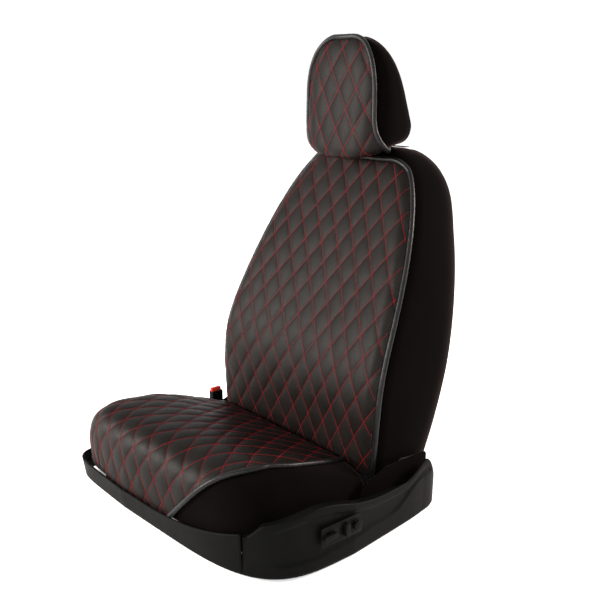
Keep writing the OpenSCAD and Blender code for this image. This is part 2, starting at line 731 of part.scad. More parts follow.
housing_top = 110;
button_h = 14.5;
module buckle_housing() color(plastic_black) lifted() difference() {
    translate([buckle_x, stalk_top_y, stalk_top_z + 0.5]) linear_extrude(housing_top - stalk_top_z)
        offset(r = 4, $fn = 32) square([10, 20], center = true);
    translate([buckle_x - 6.4, stalk_top_y - 12.3, housing_top - 12]) cube([9.4, 24.6, 20]);
    translate([buckle_x + 4.2, stalk_top_y - 11, housing_top - 30]) cube([2.6, 22, 40]);
}

module buckle_button() color(release_red) lifted()
    translate([buckle_x - 5.9, stalk_top_y - 11.8, housing_top - 6.5]) cube([8.4, 23.6, button_h]);

// ---- Backrest ----

module post_axis(side) translate([side * post_half_gap, post_y, post_z]) rotate([-post_tilt, 0, 0]) children();

guide_r = 9.5;
guide_l = 45;
module backrest_trim() color(trim_black) lifted() resize([2 * back_half_w, 0, 0]) difference() {
    loft(back_grid, true);
    translate([-260, hinge_y - 14, back_low_z - 10]) cube([520, 28, 30]);
    for (s = [-1, 1]) post_axis(s) {
        translate([0, 0, -post_down - 10]) cylinder(r = guide_r + mould_gap, h = post_down + 50, $fn = fine);
    }
}

arm_x0 = 246;
arm_t = 4.5;
module backrest_arm(side) color(dark_steel) lifted() mirror([side < 0 ? 1 : 0, 0, 0])
    translate([arm_x0, 0, 0]) rotate([90, 0, 90]) linear_extrude(arm_t) difference() {
        hull() {
            translate([hinge_y, hinge_z]) circle(r = hub_r, $fn = 32);
            translate([low_tube_y, low_tube_z]) circle(r = 11, $fn = 32);
        }
        translate([hinge_y, hinge_z]) circle(r = pin_r + running, $fn = fine);
    }
module backrest_arm_left() backrest_arm(-1);
module backrest_arm_right() backrest_arm(1);

module side_tube(s) color(dark_steel) lifted() rod_between([s * side_tube_low_x, low_tube_y, low_tube_z],
    [s * side_tube_top_x, top_tube_y, top_tube_z], back_tube_r);
module backrest_tube_left() side_tube(-1);
module backrest_tube_right() side_tube(1);
module backrest_tube_low() color(dark_steel) lifted()
    rod_x(-arm_x0, arm_x0, low_tube_y, low_tube_z, back_tube_r);
module backrest_tube_top() color(dark_steel) lifted()
    rod_x(-side_tube_top_x, side_tube_top_x, top_tube_y, top_tube_z, back_tube_r);

flange_z = 12;
module headrest_guide(side) color(plastic_black) lifted() post_axis(side) difference() {
    union() {
        translate([0, 0, -guide_l]) cylinder(r = guide_r, h = guide_l + flange_z + 0.5, $fn = fine);
        translate([0, 0, flange_z]) cylinder(r = 10.5, h = 1.6, $fn = fine);
    }
    translate([0, 0, -guide_l - 1]) cylinder(r = post_r + running, h = guide_l + 30, $fn = fine);
}
module headrest_guide_left() headrest_guide(-1);
module headrest_guide_right() headrest_guide(1);

module headrest_lock_button() color(plastic_black) lifted() post_axis(-1)
    translate([-19, -4, flange_z + 0.4]) cube([7, 8, 2]);

// ---- Headrest ----

module headrest_trim() color(trim_black) lifted() difference() {
    loft(head_grid, true);
    for (s = [-1, 1]) post_axis(s) translate([0, 0, -5]) cylinder(r = post_r + mould_gap, h = post_up + 6, $fn = fine);
}

module headrest_post(side) color(steel_grey) lifted() post_axis(side)
    translate([0, 0, -post_down]) cylinder(r = post_r, h = post_down + post_up, $fn = fine);
module headrest_post_left() headrest_post(-1);
module headrest_post_right() headrest_post(1);

cover_headrest_panel();
cover_headrest_piping();
cover_backrest_panel();
cover_backrest_piping();
cover_post_strap();
cover_post_buckle();
cover_cushion_panel();
cover_cushion_piping_left();
cover_cushion_piping_right();
cover_anchor_left();
cover_anchor_right();
cover_strap_left();
cover_strap_right();
cushion_trim();
cushion_pan();
side_frame_left();
side_frame_right();
front_cross_tube();
rear_cross_tube();
recline_rod();
recliner_left();
recliner_right();
recliner_shield_left();
recliner_shield_right();
recline_motor();
slide_motor();
slide_shaft();
upper_rail_left();
upper_rail_right();
lower_rail_left();
lower_rail_right();
front_cover();
outboard_cover();
inboard_cover();
rear_cover();
switch_bezel();
switch_slide();
switch_recline();
switch_lumbar();
buckle_anchor_bolt();
buckle_stalk();
buckle_housing();
buckle_button();
backrest_trim();
backrest_arm_left();
backrest_arm_right();
backrest_tube_left();
backrest_tube_right();
backrest_tube_low();
backrest_tube_top();
headrest_guide_left();
headrest_guide_right();
headrest_lock_button();
headrest_trim();
headrest_post_left();
headrest_post_right();
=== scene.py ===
"""A quilted seat cover set fitted on its front car seat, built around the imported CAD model.

Metres, +Z up. The seat faces -Y, and +X is the side with the seat switches.
The surfaces use the same formulas as the CAD part, in millimetres above the base's lower edge, and
are scaled to metres."""

import json
import math
from contextlib import contextmanager

import bmesh
import bpy
import numpy as np
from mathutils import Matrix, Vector, noise


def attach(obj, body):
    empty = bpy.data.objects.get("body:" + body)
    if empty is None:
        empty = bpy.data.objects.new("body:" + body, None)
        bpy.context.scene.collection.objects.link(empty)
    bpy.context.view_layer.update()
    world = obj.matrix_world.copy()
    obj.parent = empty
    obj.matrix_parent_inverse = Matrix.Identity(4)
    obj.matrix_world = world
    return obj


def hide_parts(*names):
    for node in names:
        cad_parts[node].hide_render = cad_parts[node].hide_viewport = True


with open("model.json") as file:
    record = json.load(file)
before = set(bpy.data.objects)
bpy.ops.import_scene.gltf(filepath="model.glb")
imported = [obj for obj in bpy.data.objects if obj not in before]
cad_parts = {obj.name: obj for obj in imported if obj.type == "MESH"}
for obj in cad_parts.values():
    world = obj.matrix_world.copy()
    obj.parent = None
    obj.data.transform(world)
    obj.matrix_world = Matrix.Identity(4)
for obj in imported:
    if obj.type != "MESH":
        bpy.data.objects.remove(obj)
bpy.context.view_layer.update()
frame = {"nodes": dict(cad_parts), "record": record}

MM = 0.001
FLOOR_GAP = 6
QUARTER = math.pi / 2
SCENE = bpy.context.scene

# ---- Camera, floor and light ----

CAMERA_TURN = math.radians(50)
CAMERA_RISE = math.radians(15)
CAMERA_DISTANCE = 1.650
CAMERA_AIM = Vector((0, 0.0704, 0.3785))
CAMERA_LENS = 49.8
SENSOR_W = 36
LIGHT_AIM = Vector((0, 0, 0.4))
SKY_STRENGTH = 1.02
FLOOR_SIZE = 14
FLOOR_DROP = 0.0005


def look_at(obj, target):
    obj.rotation_euler = (target - obj.location).to_track_quat("-Z", "Y").to_euler()


def make_camera():
    data = bpy.data.cameras.new("camera")
    data.lens = CAMERA_LENS
    data.sensor_width = SENSOR_W
    camera = bpy.data.objects.new("camera", data)
    SCENE.collection.objects.link(camera)
    level = math.cos(CAMERA_RISE) * CAMERA_DISTANCE
    offset = (
        math.sin(CAMERA_TURN) * level,
        -math.cos(CAMERA_TURN) * level,
        math.sin(CAMERA_RISE) * CAMERA_DISTANCE,
    )
    camera.location = CAMERA_AIM + Vector(offset)
    look_at(camera, CAMERA_AIM)
    SCENE.camera = camera


def area_light(name, place, power, size, colour=(1, 1, 1)):
    data = bpy.data.lights.new(name, "AREA")
    data.energy = power
    data.shape = "DISK"
    data.size = size
    data.color = colour
    light = bpy.data.objects.new(name, data)
    SCENE.collection.objects.link(light)
    light.location = place
    look_at(light, LIGHT_AIM)


def make_studio():
    world = bpy.data.worlds.new("studio")
    world.use_nodes = True
    sky = world.node_tree.nodes["Background"]
    sky.inputs["Color"].default_value = (1, 1, 1, 1)
    sky.inputs["Strength"].default_value = SKY_STRENGTH
    SCENE.world = world
    area_light("key", (-1.9, -2.6, 1.15), 225, 1.2, (1, 0.94, 0.88))
    area_light("front", (1.4, -2.4, 1.2), 45, 1.0)
    area_light("rim", (1.6, 2.4, 1.5), 160, 1.0, (1, 0.86, 0.8))
    bpy.ops.mesh.primitive_plane_add(size=FLOOR_SIZE, location=(0, 0, -FLOOR_DROP))
    floor = bpy.context.object
    floor.name = "studio_floor"
    floor.data.materials.append(plain_floor())
    SCENE.view_settings.view_transform = "Standard"


# ---- Materials ----


def new_material(name, colour, roughness, metallic=0.0, sheen=0.0, gloss=0.5):
    material = bpy.data.materials.new(name)
    material.use_nodes = True
    shader = material.node_tree.nodes["Principled BSDF"]
    shader.inputs["Base Color"].default_value = (*colour, 1)
    shader.inputs["Roughness"].default_value = roughness
    shader.inputs["Metallic"].default_value = metallic
    shader.inputs["Sheen Weight"].default_value = sheen
    shader.inputs["Specular IOR Level"].default_value = gloss
    return material, material.node_tree, shader


def texture(tree, kind, scale, detail=2.0, stretch=(1, 1, 1)):
    """A procedural texture in object coordinates; scale is in repeats per metre."""
    place = tree.nodes.new("ShaderNodeTexCoord")
    mapping = tree.nodes.new("ShaderNodeMapping")
    mapping.inputs["Scale"].default_value = stretch
    tree.links.new(place.outputs["Object"], mapping.inputs["Vector"])
    node = tree.nodes.new(kind)
    node.inputs["Scale"].default_value = scale
    if "Detail" in node.inputs:
        node.inputs["Detail"].default_value = detail
    tree.links.new(mapping.outputs["Vector"], node.inputs["Vector"])
    return node


def vary_colour(tree, shader, source, dark, light, low=0.35, high=0.65):
    ramp = tree.nodes.new("ShaderNodeValToRGB")
    ramp.color_ramp.elements[0].position = low
    ramp.color_ramp.elements[0].color = (*dark, 1)
    ramp.color_ramp.elements[1].position = high
    ramp.color_ramp.elements[1].color = (*light, 1)
    tree.links.new(source, ramp.inputs["Fac"])
    tree.links.new(ramp.outputs["Color"], shader.inputs["Base Color"])


def vary_roughness(tree, shader, source, low, high):
    spread = tree.nodes.new("ShaderNodeMapRange")
    spread.inputs["To Min"].default_value = low
    spread.inputs["To Max"].default_value = high
    tree.links.new(source, spread.inputs["Value"])
    tree.links.new(spread.outputs["Result"], shader.inputs["Roughness"])


def add_bump(tree, shader, sources, strength, depth):
    """Bumps from one or more textures, chained; depth is in metres."""
    last = None
    for source in sources:
        bump = tree.nodes.new("ShaderNodeBump")
        bump.inputs["Strength"].default_value = strength
        bump.inputs["Distance"].default_value = depth
        tree.links.new(source, bump.inputs["Height"])
        if last:
            tree.links.new(last.outputs["Normal"], bump.inputs["Normal"])
        last = bump
    tree.links.new(last.outputs["Normal"], shader.inputs["Normal"])


def leather(name, dark, light, roughness, grain, gloss):
    material, tree, shader = new_material(name, dark, roughness, gloss=gloss)
    patches = texture(tree, "ShaderNodeTexNoise", 22, 3)
    vary_colour(tree, shader, patches.outputs["Fac"], dark, light)
    cells = texture(tree, "ShaderNodeTexVoronoi", grain)
    creases = texture(tree, "ShaderNodeTexNoise", grain * 0.35, 4)
    vary_roughness(tree, shader, creases.outputs["Fac"], roughness - 0.08, roughness + 0.1)
    add_bump(tree, shader, [creases.outputs["Fac"], cells.outputs["Distance"]], 0.55, 0.00022)
    return material


def velvet(name, dark, light):
    material, tree, shader = new_material(name, dark, 0.9, sheen=0.11, gloss=0.02)
    shader.inputs["Sheen Roughness"].default_value = 0.28
    shader.inputs["Sheen Tint"].default_value = (0.75, 0.52, 0.46, 1)
    brushed = texture(tree, "ShaderNodeTexNoise", 9, 4)
    vary_colour(tree, shader, brushed.outputs["Fac"], dark, light)
    pile = texture(tree, "ShaderNodeTexNoise", 1400, 2)
    add_bump(tree, shader, [pile.outputs["Fac"]], 0.5, 0.0003)
    return material


def moulded_plastic(name, dark, light, roughness):
    material, tree, shader = new_material(name, dark, roughness, gloss=0.035)
    tone = texture(tree, "ShaderNodeTexNoise", 14, 3)
    vary_colour(tree, shader, tone.outputs["Fac"], dark, light)
    grain = texture(tree, "ShaderNodeTexVoronoi", 1100)
    scuffs = texture(tree, "ShaderNodeTexNoise", 60, 5)
    vary_roughness(tree, shader, scuffs.outputs["Fac"], roughness - 0.07, roughness + 0.08)
    add_bump(tree, shader, [grain.outputs["Distance"]], 0.3, 0.00012)
    return material


def twisted_thread(name, dark, light):
    material, tree, shader = new_material(name, dark, 0.6, gloss=0.06)
    fibre = texture(tree, "ShaderNodeTexNoise", 160, 2)
    vary_colour(tree, shader, fibre.outputs["Fac"], dark, light)
    strands = texture(tree, "ShaderNodeTexNoise", 2600, 2)
    add_bump(tree, shader, [strands.outputs["Fac"]], 0.6, 0.0002)
    return material


def woven_webbing(name, dark, light):
    material, tree, shader = new_material(name, dark, 0.8, sheen=0.1)
    ribs = texture(tree, "ShaderNodeTexVoronoi", 480, stretch=(1, 2.6, 1))
    vary_colour(tree, shader, ribs.outputs["Distance"], dark, light, 0.2, 0.8)
    add_bump(tree, shader, [ribs.outputs["Distance"]], 0.8, 0.0005)
    return material


def brushed_metal(name, colour, roughness, metallic):
    material, tree, shader = new_material(name, colour, roughness, metallic=metallic)
    tone = texture(tree, "ShaderNodeTexNoise", 30, 4)
    light = tuple(min(1, c * 1.25) for c in colour)
    vary_colour(tree, shader, tone.outputs["Fac"], colour, light)
    lines = texture(tree, "ShaderNodeTexNoise", 220, 3, stretch=(12, 12, 0.6))
    vary_roughness(tree, shader, lines.outputs["Fac"], roughness - 0.08, roughness + 0.12)
    add_bump(tree, shader, [lines.outputs["Fac"]], 0.2, 0.0001)
    return material


def plain_floor():
    material, _, shader = new_material("pale_floor", (0.9, 0.9, 0.9), 0.9)
    shader.inputs["Emission Color"].default_value = (1, 1, 1, 1)
    shader.inputs["Emission Strength"].default_value = 0.3
    return material


QUILT = leather(
    "quilt_leatherette", (0.0040, 0.0031, 0.0026), (0.0064, 0.0050, 0.0042), 0.44, 900, 0.06)
BINDING = leather(
    "binding_leatherette", (0.0035, 0.0034, 0.0034), (0.0060, 0.0058, 0.0058), 0.36, 620, 0.15)
SEAT_FABRIC = velvet("seat_velvet", (0.0007, 0.0004, 0.0003), (0.0011, 0.0007, 0.0006))
RED_THREAD = twisted_thread("red_thread", (0.10, 0.0020, 0.0045), (0.17, 0.0040, 0.0080))
BLACK_THREAD = twisted_thread("black_thread", (0.004, 0.004, 0.004), (0.02, 0.02, 0.02))
PLASTIC = moulded_plastic("base_plastic", (0.0013, 0.0013, 0.0012), (0.0018, 0.0018, 0.0017), 0.5)
SWITCH_PLASTIC = moulded_plastic(
    "switch_plastic", (0.0022, 0.0022, 0.0022), (0.0032, 0.0032, 0.0032), 0.42)
BUCKLE_PLASTIC = moulded_plastic(
    "buckle_plastic", (0.0015, 0.0018, 0.0035), (0.0025, 0.003, 0.0055), 0.4)
BUTTON_RED = moulded_plastic("button_red", (0.42, 0.028, 0.018), (0.50, 0.036, 0.024), 0.35)
WEBBING = woven_webbing("webbing", (0.003, 0.003, 0.003), (0.01, 0.01, 0.01))
STEEL = brushed_metal("bright_steel", (0.5, 0.5, 0.52), 0.28, 1.0)
FRAME_STEEL = brushed_metal("coated_steel", (0.02, 0.02, 0.022), 0.42, 0.2)

# ---- Shape helpers ----


def soft_ramp(v, w):
    return v if v > 20 * w else w * math.log(1 + math.exp(v / w))


def smooth_step(v):
    c = min(1.0, max(0.0, v))
    return c * c * (3 - 2 * c)


def round_off(u, n):
    return max(0.0, 1 - abs(u) ** n) ** (1 / n)


def unit(v):
    return v / np.maximum(np.linalg.norm(v, axis=-1, keepdims=True), 1e-9)


def to_metres(points):
    return (np.array(points, float) + np.array([0, 0, FLOOR_GAP])) * MM


def shade_smooth(mesh):
    mesh.polygons.foreach_set("use_smooth", [True] * len(mesh.polygons))


@contextmanager
def edited(mesh):
    """The mesh's bmesh, written back when the block ends."""
    edit = bmesh.new()
    edit.from_mesh(mesh)
    yield edit
    edit.to_mesh(mesh)
    edit.free()


def face_outwards(mesh):
    with edited(mesh) as edit:
        bmesh.ops.recalc_face_normals(edit, faces=edit.faces)


def mesh_object(name, points, faces, material):
    mesh = bpy.data.meshes.new(name)
    mesh.from_pydata([tuple(p) for p in points], [], faces)
    mesh.validate()
    mesh.update()
    mesh.materials.append(material)
    shade_smooth(mesh)
    obj = bpy.data.objects.new(name, mesh)
    SCENE.collection.objects.link(obj)
    return obj


def apply_modifiers(obj):
    bpy.context.view_layer.update()
    graph = bpy.context.evaluated_depsgraph_get()
    mesh = bpy.data.meshes.new_from_object(obj.evaluated_get(graph))
    obj.modifiers.clear()
    old = obj.data
    obj.data = mesh
    mesh.name = obj.name
    bpy.data.meshes.remove(old)


def subdivide(obj):
    modifier = obj.modifiers.new("smooth", "SUBSURF")
    modifier.levels = 1
    modifier.render_levels = 1
    apply_modifiers(obj)


def bevel(obj, width):
    modifier = obj.modifiers.new("bevel", "BEVEL")
    modifier.width = width
    modifier.segments = 3
    modifier.limit_method = "ANGLE"
    modifier.angle_limit = math.radians(35)
    apply_modifiers(obj)
    shade_smooth(obj.data)


def finish_piece(obj, body, node=None):
    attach(obj, body)
    if node:
        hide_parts(node)


def grid_faces(rows, cols, wrap=False, base=0):
    """Quads of a grid whose columns run rightwards and rows upwards, seen from outside."""
    last = cols if wrap else cols - 1
    return [
        (base + j * cols + i, base + j * cols + (i + 1) % cols,
         base + (j + 1) * cols + (i + 1) % cols, base + (j + 1) * cols + i)
        for j in range(rows - 1) for i in range(last)
    ]


SKEWED = (0.3, 0.8, 0.52)
CREASES = 190
FINE_CREASES = 420
FINE_SHARE = 0.6


def tube(name, path, radius, material, sides, wrinkle):
    """A round bead along a path, with capped ends; wrinkle is the depth of its creases."""
    along = unit(np.gradient(path, axis=0))
    side = unit(np.cross(along[0], SKEWED))
    points = []
    for p, t in zip(path, along):
        side = unit(side - t * float(np.dot(side, t)))
        up = np.cross(t, side)
        for n in range(sides):
            turn = 2 * math.pi * n / sides
            out = math.cos(turn) * side + math.sin(turn) * up
            skin = Vector(p + out * radius)
            dent = noise.noise(skin * CREASES) + FINE_SHARE * noise.noise(skin * FINE_CREASES)
            points.append(p + out * (radius + wrinkle * dent))
    faces = grid_faces(len(path), sides, wrap=True)
    faces.append(tuple(range(sides - 1, -1, -1)))
    faces.append(tuple(range((len(path) - 1) * sides, len(path) * sides)))
    return mesh_object(name, points, faces, material)


def even_path(points, step):
    """The same path with points at an even distance."""
    points = np.array(points, float)
    lengths = np.concatenate([[0], np.cumsum(np.linalg.norm(np.diff(points, axis=0), axis=1))])
    wanted = np.linspace(0, lengths[-1], max(2, int(lengths[-1] / step)))
    return np.stack([np.interp(wanted, lengths, points[:, k]) for k in range(3)], axis=1)


STITCH_SIDES = 6
STITCH_RINGS = ((-0.5, 0.45), (-0.32, 0.95), (0, 1.1), (0.32, 0.95), (0.5, 0.45))
STITCH_RISE = 0.7
STITCH_DIP = 2.4


def add_stitch(points, faces, start, end, out, radius):
    """One visible stitch: a short bead that dips into the fabric at both ends."""
    along = end - start
    length = float(np.linalg.norm(along))
    along = along / length
    side = unit(np.cross(along, out))
    base = len(points)
    for place, swell in STITCH_RINGS:
        rise = out * radius * (STITCH_RISE - STITCH_DIP * place * place)
        middle = (start + end) / 2 + along * length * place + rise
        for n in range(STITCH_SIDES):
            turn = 2 * math.pi * n / STITCH_SIDES
            points.append(middle + (math.cos(turn) * side + math.sin(turn) * out) * radius * swell)
    faces.extend(grid_faces(len(STITCH_RINGS), STITCH_SIDES, wrap=True, base=base))
    faces.append(tuple(base + n for n in range(STITCH_SIDES - 1, -1, -1)))
    top = base + (len(STITCH_RINGS) - 1) * STITCH_SIDES
    faces.append(tuple(top + n for n in range(STITCH_SIDES)))


# ---- Backrest surface ----

BACK_LOW, BACK_TOP, BACK_HALF_W = 84, 666, 250
ROW_POWER = 1.6
FRONT_Y, FRONT_SLOPE, BEND_Z, BEND_SOFT = 42, 0.48, 267, 30
FRONT_ROUND_Z, FRONT_ROUND = 640, 8
REAR_Y, REAR_SLOPE, REAR_BOW, REAR_BOW_H = 239, 0.222, 7, 472
REAR_ROUND_Z, REAR_TOP_Y = 556, 266
WIDEST_Z, FOOT_TAPER = 250, 0.0004
SHOULDER_H, SHOULDER_POWER, SHOULDER_ROOT = 422, 1.6, 0.29
FRONT_R, FRONT_R_SHARE, REAR_R, REAR_R_SHARE = 38, 0.4, 88, 0.5
DISH, DISH_FADE = 12, 300


def back_row_z(part, top=BACK_TOP):
    """Height of a level ring; the rings close up towards the top."""
    return BACK_LOW + (top - BACK_LOW) * (1 - (1 - part) ** ROW_POWER)


BACK_PANEL_TOP = back_row_z(21 / 24)


def back_front(z):
    u = max(0, (z - FRONT_ROUND_Z) / (BACK_TOP - FRONT_ROUND_Z))
    face = FRONT_Y + FRONT_SLOPE * soft_ramp(z - BEND_Z, BEND_SOFT)
    return face + FRONT_ROUND * (1 - round_off(u, 2))


def back_rear_line(z):
    bow = REAR_BOW * math.sin(math.pi * min(1, (z - BACK_LOW) / REAR_BOW_H))
    return REAR_Y + REAR_SLOPE * (z - BACK_LOW) + bow


def back_rear(z):
    u = max(0, (z - REAR_ROUND_Z) / (BACK_TOP - REAR_ROUND_Z))
    return back_rear_line(z) - (back_rear_line(BACK_TOP) - REAR_TOP_Y) * (1 - round_off(u, 2))


def back_half(z):
    if z < WIDEST_Z:
        return BACK_HALF_W - FOOT_TAPER * (WIDEST_Z - z) ** 2
    return BACK_HALF_W * (1 - ((z - WIDEST_Z) / SHOULDER_H) ** SHOULDER_POWER) ** SHOULDER_ROOT


def back_sizes(z):
    """Half width, front, rear, and the radii of the front and rear corners."""
    w, f, b = back_half(z), back_front(z), back_rear(z)
    return w, f, b, min(FRONT_R, (b - f) * FRONT_R_SHARE), min(REAR_R, (b - f) * REAR_R_SHARE)


def back_front_point(z, s):
    """Point of the front face at arc length s from its middle."""
    w, f, _, rf, _ = back_sizes(z)
    flat = w - rf
    q = abs(s)
    if q <= flat:
        dish = DISH * min(1, (BACK_TOP - z) / DISH_FADE)
        return s, f + dish * (1 - (q / flat) ** 2) ** 2, z
    a = -QUARTER + (q - flat) / rf
    return math.copysign(flat + rf * math.cos(a), s), f + rf + rf * math.sin(a), z


def back_panel_edge(z, part):
    """Arc length to the cover's edge; part is how much of the corner's arc it goes round."""
    w, _, _, rf, _ = back_sizes(z)
    return w - rf + rf * QUARTER * part


ARC_STEPS = 14
FLAT_STEPS = 12
FRONT_STEPS = 22


def back_rear_half(z):
    """Rear half of a level ring, from the widest point to the middle of the rear."""
    w, _, b, _, rb = back_sizes(z)
    turns = [QUARTER * k / ARC_STEPS for k in range(ARC_STEPS + 1)]
    arc = [(w - rb + rb * math.cos(a), b - rb + rb * math.sin(a), z) for a in turns]
    flat = [((w - rb) * (k + 0.5) / FLAT_STEPS, b, z) for k in range(FLAT_STEPS - 1, -1, -1)]
    return arc + flat


def mirror_ring(half):
    """A closed ring from its half with X above 0, both in order seen from above."""
    return half + [(-x, y, z) for x, y, z in reversed(half)]


def back_ring(z):
    edge = back_panel_edge(z, 1)
    front = [back_front_point(z, edge * (k + 0.5) / FRONT_STEPS) for k in range(FRONT_STEPS)]
    return mirror_ring(front + back_rear_half(z))


# ---- Headrest surface ----

HEAD_LOW, HEAD_TOP, HEAD_HALF_W = 641, 875, 119
HEAD_EDGE_LEFT = math.radians(-90 + 67.5)
HEAD_EDGE_RIGHT, HEAD_SWEEP, HEAD_SWEEP_LEVEL = 46, 48, 0.4
HEAD_FRONT_Y, HEAD_FRONT_SLOPE, HEAD_MIDDLE_Z = 168, 0.09, 757
HEAD_REAR_Y, HEAD_REAR_SLOPE, HEAD_REAR_Z = 286, 0.36, 690
HEAD_FOOT_POWER, HEAD_DEPTH_POWER = 8, 4
HEAD_LOW_POWER, HEAD_WIDTH_POWER, HEAD_TAPER = 5, 2.6, 0.1
HEAD_END = 0.985
HEAD_RISE = 34
HEAD_ROWS = 18
HEAD_SEAM_TURN = math.radians(22)


def head_edge_right(level):
    """The cover's switch-side edge, which sweeps back towards its foot."""
    sweep = HEAD_SWEEP * max(0, 1 - level / HEAD_SWEEP_LEVEL) ** 3
    return math.radians(-90 + HEAD_EDGE_RIGHT + sweep)


def rounded(v):
    return math.copysign(abs(v) ** (2 / 3), v)


def head_point(level, a):
    """Point of the headrest: level is 0 at its foot and 1 at its top; a is -QUARTER at the front
    and QUARTER at the rear."""
    t = (2 * level - 1) * HEAD_END
    z = HEAD_LOW + (HEAD_TOP - HEAD_LOW) * level
    front = HEAD_FRONT_Y + HEAD_FRONT_SLOPE * (z - HEAD_MIDDLE_Z)
    rear = HEAD_REAR_Y - HEAD_REAR_SLOPE * max(0, z - HEAD_REAR_Z)
    deep = (rear - front) / 2 * round_off(t, HEAD_FOOT_POWER if t < 0 else HEAD_DEPTH_POWER)
    w = HEAD_HALF_W * round_off(t, HEAD_LOW_POWER if t < 0 else HEAD_WIDTH_POWER)
    w = w * (1 - HEAD_TAPER * level)
    x = w * rounded(math.cos(a))
    y = (front + rear) / 2 + deep * rounded(math.sin(a))
    k = 1 - (1 - max(0, y - front) / (rear - front)) ** 2
    return x, y, z + HEAD_RISE * (1 - level) ** 2 * k


def head_level(k):
    return (1 - math.cos(math.pi * k / HEAD_ROWS)) / 2


# ---- Cushion surface ----

CUSHION_FRONT, CUSHION_REAR, CUSHION_SIDE_Z = -284, 28, 41
LEFT = dict(w=275, r=100, n=3.6, taper=32)
RIGHT = dict(w=262, r=105, n=2.3, taper=26)
CROWN_POWER = 4.4
CROWN_Z, CROWN_SLOPE, CROWN_BEND_Y, CROWN_SOFT = 164, 0.36, -135, 35
SKEW_X, SKEW_Y, SKEW_L = -100, -60, 224
CUSHION_SKEW = 0.085
BLEND_HALF_W = 70
TAPER_START_Y, TAPER_L, TAPER_POWER = -130, 158, 1.5
COVER_EDGE_X, COVER_FOOT_X, COVER_FLARE = 171, 47, 25
COVER_TOP_FLARE, COVER_TOP_L, COVER_DRAW = 10, 55, 0.0012


def skew(x, y, k):
    return k * max(0, x - SKEW_X) * max(0, SKEW_Y - y) / SKEW_L


def cushion_top(y):
    return CROWN_Z - CROWN_SLOPE * soft_ramp(y - CROWN_BEND_Y, CROWN_SOFT)


def cushion_y(x, c, q):
    """Depth of the point at x: c runs up the nose from 0 to 1, then q runs back from 0 to 1."""
    m = smooth_step((x + BLEND_HALF_W) / (2 * BLEND_HALF_W))
    r = LEFT["r"] * (1 - m) + RIGHT["r"] * m
    n = LEFT["n"] * (1 - m) + RIGHT["n"] * m
    y = CUSHION_FRONT + r * (1 - (1 - c ** CROWN_POWER) ** (1 / n))
    y = y + q * (CUSHION_REAR - y)
    return y + skew(x, y, CUSHION_SKEW)


def cushion_flat_w(side, y):
    taper = side["taper"] * min(1, (max(0, y - TAPER_START_Y) / TAPER_L) ** TAPER_POWER)
    return side["w"] - side["r"] - taper


def cushion_wall_x(left, c, q):
    side = LEFT if left else RIGHT
    sign = -1 if left else 1
    y = cushion_y(sign * side["w"], c, q)
    return sign * (cushion_flat_w(side, y) + side["r"] * c ** (CROWN_POWER / side["n"]))


def cushion_point(x, c, q):
    side = LEFT if x < 0 else RIGHT
    y = cushion_y(x, c, q)
    u = max(0, (abs(x) - cushion_flat_w(side, y)) / side["r"])
    k = max(0, c ** CROWN_POWER - u ** side["n"]) ** (1 / CROWN_POWER)
    return x, y, CUSHION_SIDE_Z + (cushion_top(y) - CUSHION_SIDE_Z) * k


def cover_edge_x(c, q):
    """The cushion cover's switch-side edge, which flares out over the nose and draws in behind."""
    y = cushion_y(COVER_EDGE_X, c, q)
    top = 0
    if c >= 1:
        past_nose = y - cushion_y(COVER_EDGE_X, 1, 0)
        top = COVER_TOP_FLARE * math.sin(QUARTER * min(1, past_nose / COVER_TOP_L))
    edge = COVER_FOOT_X + (COVER_EDGE_X - COVER_FOOT_X) * c + COVER_FLARE * c ** 8 + top
    return edge - COVER_DRAW * max(0, y - TAPER_START_Y) ** 2


def cushion_levels(nose, top):
    """(c, q) for each row, from the foot of the nose to the rear."""
    rows = [(math.sin(QUARTER * k / nose), 0) for k in range(nose + 1)]
    return rows + [(1, k / top) for k in range(1, top + 1)]


# ---- Quilted covers ----

DIAMOND_W = 0.048
DIAMOND_H = 0.076
CELLS = 16
PILLOW = 0.0046
GROOVE_LIFT = 0.0012
STITCH_PITCH = 0.0047
STITCH_LENGTH = 0.0042
STITCH_R = 0.00075
CELL_DIAGONAL = math.hypot(DIAMOND_W, DIAMOND_H)
PUFF_POWER = 0.42
PINNED_BELOW = 0.02
QUILT_INSET = 0.006


